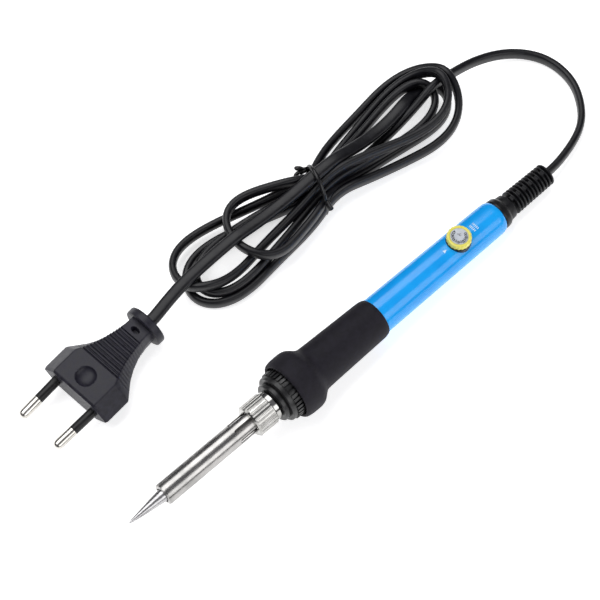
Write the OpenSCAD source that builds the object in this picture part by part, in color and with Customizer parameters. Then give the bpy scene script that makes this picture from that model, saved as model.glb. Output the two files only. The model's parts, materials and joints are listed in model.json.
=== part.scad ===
// Adjustable mains soldering iron with a hanked flat cord and a two-pin plug.
// Lengths are in millimetres, +Z is up, the tip points along -X.
// The iron lies on a flat surface, touching at its guard rim and handle end.

/* [Overall] */
// how much of the tip shows ahead of the steel barrel
tip_exposed = 15.7; // [10:0.1:26]
// barrel length from its front edge to the nut
sleeve_len = 42; // [30:0.5:60]
// length of the soft grip behind its guard
grip_len = 39; // [28:0.5:60]
// length of the painted handle behind the grip
handle_len = 64; // [58:0.5:90]
// length of the ribbed strain relief
boot_len = 24; // [18:0.5:40]

/* [Tip and barrel] */
// outside diameter of the tip's shank
tip_shank_d = 6.5; // [6:0.1:7]
// outside diameter of the heating rod
heater_d = 3.8; // [3:0.1:4]
// outside diameter of the steel barrel
sleeve_d = 8.8; // [8.4:0.1:10.6]
// wall of the steel barrel
sleeve_wall = 0.4; // [0.3:0.05:0.5]
// number of vent slots round the barrel
vent_count = 6; // [4:1:8]
// width of each vent slot
vent_w = 1.7; // [1:0.1:2.2]

/* [Nut and bush] */
// thickness of the nut from its thread to its outside
nut_wall = 1.56; // [1.4:0.02:2.4]
// length of the fluted part of the nut
nut_len = 8.8; // [8:0.1:12]
// number of flutes round the nut
flute_count = 30; // [16:1:40]
// diameter of the bush's largest step
bush_d = 19.1; // [18:0.1:20]
// number of teeth on the vented ring
tooth_count = 36; // [18:1:48]

/* [Grip and handle] */
// diameter of the guard in front of the grip
guard_d = 25; // [23:0.1:30]
// thickness of the grip just behind the guard
grip_wall = 1.8; // [1.5:0.1:3]
// handle diameter where it leaves the grip
handle_d = 14.9; // [14.6:0.1:18]
// handle diameter near its rear end
handle_rear_d = 13.8; // [13.5:0.1:15]

/* [Dial] */
// outside diameter of the scalloped dial
dial_d = 10.3; // [8.5:0.1:11]
// number of scallops round the dial
scallop_count = 20; // [12:1:28]
// distance from the handle's rear end to the dial's centre
dial_back = 21.2; // [16:0.1:26]

/* [Strain relief] */
// strain relief diameter at its first rib
boot_d = 10.4; // [9.6:0.1:12]
// number of ribs
rib_count = 10; // [6:1:12]

/* [Cord and plug] */
// width of the flat cord
cord_w = 5; // [4:0.1:5.6]
// thickness of the flat cord
cord_t = 3; // [2.6:0.1:3.4]
// height of the tied hank
hank_h = 12; // [8:0.5:15]
// plug width across its side ridges
plug_w = 32.6; // [30:0.1:36]
// plug thickness
plug_t = 13.7; // [12:0.1:15]
// length of the plug body behind the pins
plug_len = 39; // [36:0.1:46]
// pin diameter
pin_d = 4; // [3.8:0.1:4.2]
// free length of each pin
pin_len = 19; // [17:0.1:20]
// distance between the pins' centres at the plug
pin_pitch = 18.6; // [17:0.1:19.2]

/* [Hidden] */
$fn = 64;

STEEL = [0.78, 0.78, 0.77];
BLACK = [0.13, 0.13, 0.14];
RUBBER = [0.09, 0.09, 0.1];
BLUE = [0.1, 0.5, 0.86];
YELLOW = [0.9, 0.86, 0.42];
GREY = [0.6, 0.62, 0.64];
WHITE = [0.92, 0.91, 0.88];
GREEN = [0.12, 0.4, 0.22];

fit = 0.05;
gap = 0.3;

// stations along the iron, measured back from the tip's point
m_sleeve = tip_exposed;
m_nut = m_sleeve + sleeve_len;
m_flange = m_nut + 2.1;
m_nose = m_flange + 1.1;
m_nut_back = m_nut + nut_len;
m_nut_end = m_nut_back + 2;
m_ring_a = m_nut_end + 0.4;
m_ring_b = m_ring_a + 2.2;
m_vent = m_ring_b + 2;
m_guard = m_vent + 2.8;
m_shell = m_guard + 4;
m_guard_wide = m_guard + 6.8;
m_grip = m_guard + 13.5;
m_grip_end = m_grip + grip_len - 7;
m_shell_end = m_grip_end + handle_len;
m_cap_end = m_shell_end + 3.4;
m_end = m_cap_end + boot_len;
m_dial = m_shell_end - dial_back;

// heater and tip
heater_r = heater_d / 2;
tip_shank_r = tip_shank_d / 2;
tip_bore_r = heater_r + 0.2;
sleeve_r = sleeve_d / 2;
sleeve_mouth_r = tip_shank_r - 0.25;
flange_r = sleeve_r + 0.55;
thread_r = flange_r + 0.09;
nut_bore_r = thread_r + fit;
nut_r = nut_bore_r + nut_wall;
neck_r = nut_r - 0.65;
m_heater = m_sleeve + 4.8;
m_shoulder = m_sleeve + 1.6;
m_tip_end = m_sleeve + 27.3;
heater_seat_r = 3.6;

// handle bore, and the board that sits on two ledges in it
bore_r = 5.8;
shell_front_r = handle_d / 2 - 0.25;
grip_r = shell_front_r + grip_wall;
guard_r = guard_d / 2;
cup_r = guard_r - 1.9;
bush_tail_r = 8.6;
bush_plug_r = bore_r - 0.02;
ring_r = cup_r - 0.5;
board_w = 8.8;
board_bottom = 0.4;
board_top = 1.4;
m_board = m_shell + 24;
m_board_end = m_dial + 5.2;
board_len = m_board_end - m_board;
m_rod_end = m_shell + 4;
lead_r = 0.35;
cap_bore_r = 3.8;

// dial heights above the handle's axis
bezel_bottom = 4.7;
bezel_top = handle_d / 2 + 0.1;
bezel_r = dial_d / 2 - 0.25;
knob_bottom = bezel_top + 0.15;
knob_top = knob_bottom + 2.3;
face_r = dial_d / 2 - 1.65;
face_sink = 0.45;
shaft_r = 1.45;

// tilt that lets guard and handle end touch the surface together
tilt = atan((guard_r - handle_rear_d / 2) / (m_shell_end - 2.2 - m_guard_wide));
axis_x = -(m_end * cos(tilt) + (boot_d / 2 - 0.5) * sin(tilt)) / 2;
axis_z = guard_r * cos(tilt) + m_guard_wide * sin(tilt);
exit_x = axis_x + m_end * cos(tilt);
exit_z = axis_z - m_end * sin(tilt);

// hank and plug on the surface
hank_y = 57;
hank_left = -12;
hank_right = 94;
hank_left_r = 15;
hank_right_r = 17;
waist_x = 39;
waist_y = 56;
waist_half = 9;
tie_turn = -18;
tie_half = waist_half / cos(tie_turn) + 0.7;
tie_wire = 1.6;
plug_x = -47.5;
plug_y = 56.5;
plug_turn = 184;
disc_r = 8.4;
plug_dip = asin((disc_r - plug_t / 2) / plug_len);
plug_z = disc_r * cos(plug_dip);
pin_lean = 1.4;
pin_core_r = pin_d / 2 - 0.6;
pin_cover_r = pin_d / 2 - 0.25;
pin_bare = 10;
dish_r = 3.6;

// cord route from the strain relief round to the hank, round numbers
LEAD = [[exit_x, 0, exit_z], [exit_x + 5, 0, exit_z - 0.3], [exit_x + 13, 1.5, 3.6],
    [128, 4, 2.6], [135, 8, 2.6], [140, 14, 2.6], [144, 21, 2.6], [145, 29, 2.6],
    [144, 36, 2.6], [140, 43, 2.6], [134, 48.5, 2.6], [127, 52, 2.6], [119, 54, 3],
    [hank_right + hank_right_r, 55, 3.4]];
// cord route from the hank's other end to the plug, round numbers
TAIL = [[hank_left - hank_left_r, 58.5, 8], [-32, 58.5, 8.4], [-37, 57.8, 8.5],
    [plug_x + 5, plug_y + 0.35, plug_z + 0.2], [plug_x, plug_y, plug_z]];

// ---- placing helpers ----
module on_iron() {
    translate([axis_x, 0, axis_z])
        rotate([0, 90 + tilt, 0])
            children();
}

// X back along the iron, Y across, Z up from the axis
module on_bench() {
    on_iron()
        rotate([0, -90, 0])
            children();
}

module on_plug() {
    translate([plug_x, plug_y, plug_z])
        rotate([0, 0, plug_turn])
            rotate([0, plug_dip, 0])
                children();
}

module turned(points) {
    rotate_extrude()
        polygon(points);
}

module rod(p, q, r) {
    v = q - p;
    len = norm(v);
    translate(p)
        rotate([0, acos(v.z / len), atan2(v.y, v.x)])
            cylinder(r = r, h = len);
}

// two round cores side by side under one flat jacket
module cord_outline(w, t) {
    union() {
        translate([w / 2 - t / 2, 0])
            circle(d = t);
        translate([t / 2 - w / 2, 0])
            circle(d = t);
        square([w - t, t], center = true);
    }
}

function unit(v) = v / max(norm(v), 0.0001);

function along(pts, i) =
    unit(pts[min(i + 1, len(pts) - 1)] - pts[max(i - 1, 0)]);

function across(pts, i) =
    unit([-along(pts, i).y, along(pts, i).x, 0]);

function above(pts, i) = cross(along(pts, i), across(pts, i));

// swept tube; w lies across the run and t along its own upright
module tube(pts, w, t, sides = 10) {
    n = len(pts);
    ring = [for (i = [0:n - 1]) for (k = [0:sides - 1])
        pts[i] + across(pts, i) * (w / 2 * cos(360 * k / sides))
            + above(pts, i) * (t / 2 * sin(360 * k / sides))];
    walls = [for (i = [0:n - 2]) for (k = [0:sides - 1])
        [i * sides + k, (i + 1) * sides + k,
            (i + 1) * sides + (k + 1) % sides, i * sides + (k + 1) % sides]];
    first = [for (k = [0:sides - 1]) k];
    last = [for (k = [sides - 1:-1:0]) (n - 1) * sides + k];
    polyhedron(points = ring, faces = concat(walls, [first], [last]), convexity = 10);
}

// ---- tip, heater and barrel ----
module soldering_tip() {
    color(STEEL)
        on_iron()
            turned([[0, 0], [0.3, 0.15], [0.5, 0.8], [1.35, 6], [sleeve_mouth_r - 0.35, m_sleeve + 0.6],
                [tip_shank_r, m_shoulder], [tip_shank_r, m_tip_end - 0.3], [tip_shank_r - 0.3, m_tip_end],
                [tip_bore_r, m_tip_end], [tip_bore_r, m_sleeve + 4.3], [0, m_sleeve + 3.6]]);
}

module tip_sleeve() {
    color(STEEL)
        on_iron()
            difference() {
                turned([[sleeve_mouth_r, m_sleeve], [sleeve_r - 0.6, m_sleeve], [sleeve_r - 0.18, m_sleeve + 0.2],
                    [sleeve_r, m_sleeve + 0.7], [sleeve_r, m_flange], [flange_r, m_flange],
                    [flange_r, m_flange + 1], [sleeve_r - sleeve_wall, m_flange + 1],
                    [sleeve_r - sleeve_wall, m_sleeve + 0.8], [sleeve_mouth_r, m_sleeve + 0.45]]);
                for (i = [0:vent_count - 1])
                    rotate([0, 0, 192 + i * 360 / vent_count]) {
                        translate([sleeve_r - 1.2, -vent_w / 2, m_nut - 7])
                            cube([2.4, vent_w, 6.6]);
                        translate([sleeve_r - 1.2, 0, m_nut - 7])
                            rotate([0, 90, 0])
                                cylinder(d = vent_w, h = 2.4);
                        translate([sleeve_r - 1.2, 0, m_nut - 0.4])
                            rotate([0, 90, 0])
                                cylinder(d = vent_w, h = 2.4);
                    }
            }
}

module barrel_nut() {
    color(STEEL)
        on_iron()
            difference() {
                union() {
                    intersection() {
                        translate([0, 0, m_nut])
                            linear_extrude(height = nut_len)
                                difference() {
                                    circle(r = nut_r);
                                    for (i = [0:flute_count - 1])
                                        rotate(i * 360 / flute_count)
                                            translate([nut_r + 0.12, 0])
                                                circle(r = 0.45);
                                }
                        turned([[0, m_nut], [nut_r - 0.9, m_nut], [nut_r, m_nut + 0.7],
                            [nut_r, m_nut_back - 0.5], [nut_r - 0.5, m_nut_back], [0, m_nut_back]]);
                    }
                    turned([[0, m_nut_back - 1], [neck_r, m_nut_back - 1], [neck_r, m_nut_end - 0.3],
                        [neck_r - 0.3, m_nut_end], [0, m_nut_end]]);
                }
                translate([0, 0, m_nut - 1])
                    cylinder(r = sleeve_r + fit, h = nut_len);
                translate([0, 0, m_flange - fit])
                    cylinder(r = nut_bore_r, h = nut_len + 4);
            }
}

module heater_rod() {
    color(WHITE)
        on_iron()
            turned([[0, m_heater], [heater_r - 0.4, m_heater], [heater_r, m_heater + 0.5],
                [heater_r, m_rod_end], [0, m_rod_end]]);
}

module heater_flange() {
    color(WHITE)
        on_iron()
            turned([[heater_r, m_nose + 0.6], [heater_seat_r - 0.3, m_nose + 0.6], [heater_seat_r, m_nose + 0.9],
                [heater_seat_r, m_nose + 5], [heater_r, m_nose + 5]]);
}

module heater_leads() {
    color(STEEL)
        on_bench()
            for (s = [-1, 1]) {
                rod(lead_at(s, 0), lead_at(s, 1), lead_r);
                translate(lead_at(s, 1)) {
                    sphere(r = lead_r);
                    rotate([0, 90, 0])
                        cylinder(r = lead_r, h = 6);
                }
            }
}

module lead_sleeves() {
    color(WHITE)
        on_bench()
            for (s = [-1, 1])
                difference() {
                    rod(lead_at(s, 0.12), lead_at(s, 0.72), 2 * lead_r + 0.05);
                    rod(lead_at(s, 0.1), lead_at(s, 0.74), lead_r + 0.02);
                }
}

// a point on a lead's slanted run, from the heater rod up to just short of the board
function lead_at(s, t) =
    [m_rod_end, s * 0.9, 0] * (1 - t) + [m_board - 1.5, s * 2.2, board_top + lead_r + 0.02] * t;

// ---- bush and vented ring ----
module front_bush() {
    color(BLACK)
        on_iron()
            difference() {
                union() {
                    turned([[0, m_nose], [thread_r - 0.3, m_nose], [thread_r, m_nose + 0.3],
                        [thread_r, m_ring_a], [7.6, m_ring_a], [7.9, m_ring_a + 0.3], [7.9, m_ring_a + 1.6],
                        [7.1, m_ring_a + 1.6], [7.1, m_ring_b], [bush_d / 2 - 0.3, m_ring_b],
                        [bush_d / 2, m_ring_b + 0.3], [bush_d / 2, m_vent], [bush_tail_r, m_vent], [bush_tail_r, m_shell],
                        [bush_plug_r, m_shell], [bush_plug_r, m_shell + 16], [0, m_shell + 16]]);
                }
                for (k = [0:5])
                    translate([0, 0, m_nose + 1 + k])
                        turned([[thread_r - 0.25, 0.4], [thread_r + 1, 0], [thread_r + 1, 0.8]]);
                translate([0, 0, m_nose - 1])
                    cylinder(r = heater_seat_r + fit, h = 6);
                translate([0, 0, m_nose])
                    cylinder(r = heater_r + gap, h = 30);
                translate([0, 0, m_shell - 1])
                    cylinder(r = 4.4, h = 20);
            }
}

module vent_ring() {
    color(BLACK)
        on_iron()
            translate([0, 0, m_vent])
                linear_extrude(height = 4.2)
                    difference() {
                        circle(r = ring_r);
                        circle(r = bush_tail_r + 0.02);
                        for (i = [0:tooth_count - 1])
                            rotate(i * 360 / tooth_count)
                                translate([ring_r + 0.1, 0])
                                    square([1.5, 0.8], center = true);
                    }
}

// ---- grip and handle ----
module grip_sleeve() {
    color(RUBBER)
        on_iron()
            difference() {
                turned([[cup_r, m_guard], [guard_r - 1.1, m_guard], [guard_r - 0.45, m_guard + 0.8],
                    [guard_r - 0.1, m_guard + 3], [guard_r, m_guard_wide],
                    [guard_r - 0.35, m_guard + 8.6], [guard_r - 1.3, m_guard + 10.2],
                    [grip_r + 0.9, m_guard + 11.6], [grip_r + 0.2, m_guard + 12.8], [grip_r, m_grip + 1],
                    [grip_r - 0.35, m_grip_end - 16], [grip_r - 0.7, m_grip_end - 2],
                    [grip_r - 0.95, m_grip_end - 0.8], [handle_d / 2 + 0.15, m_grip_end - 0.1],
                    [shell_front_r, m_grip_end - 0.1], [shell_front_r, m_shell], [cup_r, m_shell]]);
                translate([0, 0, m_guard - 1])
                    cylinder(r = cup_r, h = 5);
            }
}

module handle_shell() {
    color(BLUE)
        union() {
            on_iron()
                difference() {
                    turned([[bore_r, m_shell], [shell_front_r, m_shell], [shell_front_r, m_grip_end],
                        [handle_d / 2, m_grip_end], [handle_rear_d / 2 + 0.08, m_shell_end - 8],
                        [handle_rear_d / 2, m_shell_end - 2.2], [handle_rear_d / 2 - 0.22, m_shell_end - 1.1],
                        [handle_rear_d / 2 - 0.6, m_shell_end - 0.35], [handle_rear_d / 2 - 0.95, m_shell_end],
                        [bore_r, m_shell_end]]);
                    translate([0, 0, m_dial])
                        rotate([0, -90, 0])
                            translate([0, 0, bezel_bottom - 0.05])
                                cylinder(r = bezel_r + fit, h = 8);
                }
            on_bench()
                for (s = [-1, 1])
                    translate([m_board - 1, s * 5.05 - 1.05, board_bottom - 1])
                        cube([board_len + 2, 2.1, 1]);
        }
}

module dial_bezel() {
    color(BLACK)
        on_bench()
            translate([m_dial, 0, bezel_bottom])
                difference() {
                    cylinder(r = bezel_r, h = bezel_top - bezel_bottom);
                    translate([0, 0, -1])
                        cylinder(r = shaft_r + fit, h = 9);
                }
}

module dial_knob() {
    color(YELLOW)
        on_bench()
            translate([m_dial, 0, knob_bottom])
                difference() {
                    linear_extrude(height = knob_top - knob_bottom)
                        difference() {
                            circle(d = dial_d);
                            for (i = [0:scallop_count - 1])
                                rotate(i * 360 / scallop_count)
                                    translate([dial_d / 2 + 0.2, 0])
                                        circle(r = 0.5);
                        }
                    translate([0, 0, knob_top - knob_bottom - face_sink])
                        cylinder(r = face_r + fit, h = 2);
                    translate([0, 0, -1])
                        cylinder(r = shaft_r, h = 2.4);
                }
}

module dial_face() {
    color(GREY)
        on_bench()
            translate([m_dial, 0, knob_top - face_sink])
                difference() {
                    cylinder(r = face_r, h = face_sink);
                    for (a = [-150:60:150])
                        rotate([0, 0, a])
                            translate([face_r - 1.1, 0, face_sink])
                                cube([0.9, 0.35, 0.2], center = true);
                }
}

module pot_shaft() {
    color(WHITE)
        on_bench()
            translate([m_dial, 0, board_top + 1])
                cylinder(r = shaft_r, h = knob_bottom + 1.4 - board_top - 1);
}

module pot_body() {
    color(BLACK)
        on_bench()
            difference() {
                translate([m_dial - 3.6, -2.9, board_top])
                    cube([7.2, 5.8, bezel_bottom - board_top]);
                translate([m_dial, 0, board_top + 1 - fit])
                    cylinder(r = shaft_r + fit, h = 8);
            }
}

// ---- board and what stands on it ----
module circuit_board() {
    color(GREEN)
        on_bench()
            translate([m_board, -board_w / 2, board_bottom])
                cube([board_len, board_w, board_top - board_bottom]);
}

module triac() {
    color(BLACK)
        on_bench()
            translate([m_dial - 23, 0, board_top])
                intersection() {
                    cylinder(r = 2.3, h = 3.6);
                    translate([-1.3, -3, -1])
                        cube([6, 6, 6]);
                }
}

module film_capacitor() {
    color([0.75, 0.3, 0.12])
        on_bench()
            translate([m_dial - 17, -2.3, board_top])
                cube([9, 4.6, 3.7]);
}

module resistors() {
    color([0.8, 0.68, 0.5])
        on_bench()
            for (p = [[9, -2.4], [9, 2.4], [18, -2.4]])
                part_on_leads(m_board + p.x, p.y, 6, 1.1);
}

module diac() {
    color([0.2, 0.3, 0.6])
        on_bench()
            part_on_leads(m_board + 19, 2.4, 3.8, 0.9);
}

module part_on_leads(x, y, len, r) {
    translate([x, y, board_top + r + 0.1])
        rotate([0, 90, 0])
            cylinder(r = r, h = len);
    translate([x - 1, y, board_top + r + 0.1])
        rotate([0, 90, 0])
            cylinder(r = 0.28, h = len + 2);
    for (d = [-0.8, len + 0.8])
        translate([x + d, y, board_top])
            cylinder(r = 0.28, h = r + 0.1);
}

module mains_wires() {
    color([0.45, 0.26, 0.14])
        on_bench()
            for (s = [-1, 1]) {
                rod([m_board_end - 10, s * 1.15, board_bottom - 0.65], [m_shell_end - 11.5, s * 1.15, board_bottom - 0.65], 0.6);
                translate([m_board_end - 9, s * 1.15, board_bottom - 0.8])
                    cylinder(r = 0.9, h = 0.8);
            }
}

// ---- rear end ----
module cord_clamp() {
    color(BLACK)
        on_iron()
            translate([0, 0, m_shell_end - 10.8])
                linear_extrude(height = 2.4)
                    difference() {
                        circle(r = 4.6);
                        cord_outline(cord_w, cord_t);
                    }
}

module cord_core() {
    color(BLACK)
        on_iron()
            translate([0, 0, m_shell_end - 11.5])
                linear_extrude(height = m_end - m_shell_end + 11.5)
                    cord_outline(cord_w, cord_t);
}

module rear_cap() {
    color(BLACK)
        on_iron()
            turned([[cap_bore_r, m_shell_end - 8.3], [bush_plug_r, m_shell_end - 8.3],
                [bush_plug_r, m_shell_end], [handle_rear_d / 2 - 0.7, m_shell_end],
                [handle_rear_d / 2 - 0.55, m_shell_end + 0.6], [handle_rear_d / 2 - 0.75, m_shell_end + 2.4],
                [handle_rear_d / 2 - 1.3, m_cap_end], [cap_bore_r, m_cap_end]]);
}

module strain_relief() {
    pitch = (boot_len - 4) / rib_count;
    color(RUBBER)
        on_iron()
            difference() {
                turned([[0, m_shell_end - 8.3], [cap_bore_r - 0.02, m_shell_end - 8.3], [cap_bore_r - 0.02, m_cap_end],
                    [boot_d / 2 + 0.1, m_cap_end], [boot_d / 2 - 0.15, m_cap_end + 3],
                    [boot_d / 2 - 0.5, m_end - 0.4], [boot_d / 2 - 0.9, m_end], [0, m_end]]);
                translate([0, 0, m_shell_end - 9])
                    linear_extrude(height = m_end)
                        cord_outline(cord_w + 0.1, cord_t + 0.1);
                for (k = [0:rib_count - 1])
                    translate([0, 0, m_cap_end + 3.4 + k * pitch])
                        difference() {
                            rotate_extrude()
                                translate([3.2, 0])
                                    square([4, pitch * 0.45]);
                            for (a = [0, 180])
                                rotate([0, 0, a + (k % 2) * 90])
                                    translate([2, -0.9, -1])
                                        cube([6, 1.8, 4]);
                        }
            }
}

// ---- cord, its hank and tie ----
module cord_lead() {
    color(RUBBER)
        tube(LEAD, cord_t, cord_w, 10);
}

module cord_hank() {
    color(RUBBER)
        union() {
            translate([hank_left, hank_y, 0])
                cylinder(r = hank_left_r, h = hank_h);
            translate([hank_right, hank_y, 0])
                cylinder(r = hank_right_r, h = hank_h);
            linear_extrude(height = hank_h)
                polygon([[hank_left + 4, hank_y - hank_left_r + 0.6], [waist_x - 6, waist_y - waist_half],
                    [waist_x + 6, waist_y - waist_half], [hank_right - 4, hank_y - hank_right_r + 0.5],
                    [hank_right - 4, hank_y + hank_right_r - 0.5], [waist_x + 6, waist_y + waist_half],
                    [waist_x - 6, waist_y + waist_half], [hank_left + 4, hank_y + hank_left_r - 0.6]]);
        }
}

module cord_tail() {
    color(RUBBER)
        tube(TAIL, cord_w, cord_t, 10);
}

module cord_tie() {
    color(RUBBER)
        translate([waist_x, waist_y, 0])
            rotate([0, 0, tie_turn]) {
                difference() {
                    translate([-1.1, -tie_half - tie_wire, 0])
                        cube([2.2, 2 * (tie_half + tie_wire), hank_h + 0.1 + tie_wire]);
                    translate([-3, -tie_half, -1])
                        cube([6, 2 * tie_half, hank_h + 1.1]);
                }
                translate([0, tie_half + tie_wire + 1.9, hank_h - 1])
                    rotate([90, 0, 60])
                        rotate_extrude()
                            translate([2.2, 0])
                                circle(r = 0.9);
                translate([-2.6, tie_half + tie_wire + 0.6, hank_h - 1])
                    rotate([90, 0, 110])
                        rotate_extrude()
                            translate([2.2, 0])
                                circle(r = 0.9);
                translate([0, -tie_half - 4, hank_h - 5])
                    rotate([-70, 0, 0])
                        cylinder(r = 1.1, h = 4);
            }
}

// ---- plug ----
// half widths and half heights of the plug at stations from its disc
PLUG = [[2.5, 5.3, 4.6, 4.6], [7, 5.6, 4.7, 4.9], [12, 6.9, 5.4, 5.5], [17, 8.9, 6.4, 6.1],
    [21, 11.2, 7.6, 6.5], [24, 13.6, 8.8, 6.8], [27.3, plug_w / 2, 10.4, plug_t / 2],
    [plug_len - 2.4, plug_w / 2, 10.4, plug_t / 2], [plug_len, plug_w / 2 - 1.2, 9.6, plug_t / 2 - 2.6]];

module plug_block() {
    n = len(PLUG);
    ring = [for (p = PLUG) each [[p[0], p[1], 0], [p[0], p[2], p[3]], [p[0], -p[2], p[3]],
        [p[0], -p[1], 0], [p[0], -p[2], -p[3]], [p[0], p[2], -p[3]]]];
    walls = [for (i = [0:n - 2]) for (k = [0:5])
        [i * 6 + k, (i + 1) * 6 + k, (i + 1) * 6 + (k + 1) % 6, i * 6 + (k + 1) % 6]];
    polyhedron(points = ring, faces = concat(walls, [[0, 1, 2, 3, 4, 5]], [[for (k = [5:-1:0]) (n - 1) * 6 + k]]));
}

module at_pins() {
    for (s = [-1, 1])
        translate([plug_len, s * pin_pitch / 2, 0])
            rotate([0, 90, -s * pin_lean])
                children();
}

module plug_body() {
    color(BLACK)
        on_plug()
            difference() {
                union() {
                    plug_block();
                    rotate([0, 90, 0])
                        turned([[0, 0], [disc_r - 0.5, 0], [disc_r, 0.5], [disc_r, 2.8], [disc_r - 0.5, 3.3], [0, 3.3]]);
                }
                for (k = [0:11])
                    for (s = [-1, 1])
                        translate([10.5 + k * 1.35, 0, s * (5.9 + k * 0.16)])
                            cube([0.6, 30, 1.3], center = true);
                for (s = [-1, 1]) {
                    translate([plug_len - 6.5, 0, s * (plug_t / 2 + 1.2)])
                        cylinder(r = dish_r, h = 3.4, center = true);
                    translate([6.5, 0, s * 5])
                        cube([1.8, 3.2, 3], center = true);
                }
                at_pins()
                    translate([0, 0, -9])
                        cylinder(r = pin_core_r, h = 12);
                at_pins()
                    translate([0, 0, -3])
                        cylinder(r = pin_cover_r, h = 5);
            }
}

module plug_pins() {
    color(STEEL)
        on_plug()
            at_pins()
                turned([[0, -9], [pin_core_r, -9], [pin_core_r, pin_bare], [pin_d / 2, pin_bare],
                    [pin_d / 2, pin_len - 1.6], [pin_d / 2 - 0.25, pin_len - 0.8],
                    [pin_d / 2 - 0.9, pin_len - 0.2], [0, pin_len]]);
}

module pin_sleeves() {
    color(BLACK)
        on_plug()
            at_pins()
                turned([[pin_core_r, -3], [pin_cover_r, -3], [pin_cover_r, pin_bare], [pin_core_r, pin_bare]]);
}

soldering_tip();
tip_sleeve();
barrel_nut();
front_bush();
vent_ring();
heater_rod();
heater_flange();
heater_leads();
lead_sleeves();
grip_sleeve();
handle_shell();
dial_bezel();
dial_knob();
dial_face();
pot_shaft();
pot_body();
circuit_board();
triac();
film_capacitor();
resistors();
diac();
mains_wires();
cord_clamp();
rear_cap();
strain_relief();
cord_core();
cord_lead();
cord_hank();
cord_tail();
cord_tie();
plug_body();
plug_pins();
pin_sleeves();
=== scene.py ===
# %% [markdown]
# # A soldering iron with its cord tied in a hank
# The working shape of the iron comes packed, as a frame that this script leaves in place.
# This script dresses that frame: it gives every part the finish of its real material,
# and swaps the parts whose shape matters most for finer ones that stand in the same place.

import json
import math

import bmesh
import bpy
import numpy as np
from mathutils import Matrix, Vector


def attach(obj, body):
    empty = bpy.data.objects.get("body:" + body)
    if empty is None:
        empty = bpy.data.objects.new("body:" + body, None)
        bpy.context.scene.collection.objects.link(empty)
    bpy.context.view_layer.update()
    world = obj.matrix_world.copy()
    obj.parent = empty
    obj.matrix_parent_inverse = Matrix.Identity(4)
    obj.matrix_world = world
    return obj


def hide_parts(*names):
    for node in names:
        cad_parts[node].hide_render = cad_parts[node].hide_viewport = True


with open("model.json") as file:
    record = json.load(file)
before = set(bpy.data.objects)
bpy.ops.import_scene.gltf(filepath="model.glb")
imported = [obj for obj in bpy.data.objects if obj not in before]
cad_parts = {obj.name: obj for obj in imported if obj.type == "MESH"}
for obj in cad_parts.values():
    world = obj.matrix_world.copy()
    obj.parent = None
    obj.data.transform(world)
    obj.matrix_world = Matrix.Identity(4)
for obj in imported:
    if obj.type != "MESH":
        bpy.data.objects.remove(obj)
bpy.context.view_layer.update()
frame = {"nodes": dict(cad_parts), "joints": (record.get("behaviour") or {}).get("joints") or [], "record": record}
nodes = frame["nodes"]
joints = {j["name"]: j for j in frame["joints"]}
mounts = {m["name"]: m for m in frame["record"]["mounts"]}

# %% [markdown]
# ## Two drawing boards
# The iron lies tilted, so its pieces are easier to draw straight and then to lay down.
# One matrix lays down a drawing of the iron in millimetres: x runs back from the tip's point, y across, z up.
# The directions come from the joints: the tip slides off along the iron, and the dial turns about its up.
# A second matrix does the same for the plug, from the places and directions of its two pins.

# %% Lay out the iron's drawing board
MM = 0.001


def places(name):
    """The vertices of one frame node, where they stand."""
    return [nodes[name].matrix_world @ v.co for v in nodes[name].data.vertices]


back = -Vector(joints["tip_off"]["axis"]).normalized()
up = Vector(joints["dial_turn"]["axis"]).normalized()
side = up.cross(back)
on_axis = Vector(joints["nut_turn"]["pos_m"])
nose = on_axis + back * min((p - on_axis).dot(back) for p in places("soldering_tip"))


def board(origin, along, across, above):
    """A matrix that lays down a drawing in millimetres."""
    turn = Matrix((along, across, above)).transposed().to_4x4()
    return Matrix.Translation(origin) @ turn @ Matrix.Scale(MM, 4)


IRON = board(nose, back, side, up)


def span(name):
    """Where a node starts and ends along the iron, in mm back from the tip's point."""
    reach = [(p - nose).dot(back) / MM for p in places(name)]
    return min(reach), max(reach)


def girth(name):
    """A node's largest distance from the iron's middle line, in mm."""
    return max((p - nose - back * (p - nose).dot(back)).length for p in places(name)) / MM


for name in ("soldering_tip", "tip_sleeve", "grip_sleeve", "handle_shell", "strain_relief"):
    print(name, [round(v, 2) for v in span(name)], "radius", round(girth(name), 2))

# %% Lay out the plug's drawing board
pins = [mounts["plug_pin_a"], mounts["plug_pin_b"]]
plug_along = sum((Vector(p["axis"]) for p in pins), Vector()).normalized()
plug_mid = (Vector(pins[0]["pos_m"]) + Vector(pins[1]["pos_m"])) / 2
plug_back = min((p - plug_mid).dot(plug_along) for p in places("plug_body"))
plug_across = Vector(pins[0]["pos_m"]) - Vector(pins[1]["pos_m"])
plug_above = plug_along.cross(plug_across).normalized()
PLUG = board(plug_mid + plug_along * plug_back, plug_along, plug_above.cross(plug_along), plug_above)
plug_len = max((p - plug_mid).dot(plug_along) for p in places("plug_body")) / MM - plug_back / MM
print("plug body", round(plug_len, 2), "mm long, its disc at", [round(v / MM, 1) for v in PLUG.translation])

# %% [markdown]
# ## Camera
# A long lens from well back keeps the iron's sides almost parallel, as in a catalogue picture.
# The camera looks down steeply, with the iron running from the lower left to the upper right.

# %% Set up the camera
view_turn, view_rise, view_far = math.radians(-43.33), math.radians(65), 0.8775
level = math.cos(view_rise)
away = Vector((math.sin(view_turn) * level, -math.cos(view_turn) * level, math.sin(view_rise)))
aim = Vector((0, 0.025, 0.008))
camera = bpy.data.objects.new("camera", bpy.data.cameras.new("camera"))
camera.data.sensor_width = 36
camera.data.lens = 141.15
camera.location = aim + away * view_far
camera.rotation_mode = "QUATERNION"
camera.rotation_quaternion = (-away).to_track_quat("-Z", "Y")
bpy.context.collection.objects.link(camera)
bpy.context.scene.camera = camera
print("camera", [round(v, 3) for v in camera.location])

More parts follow.
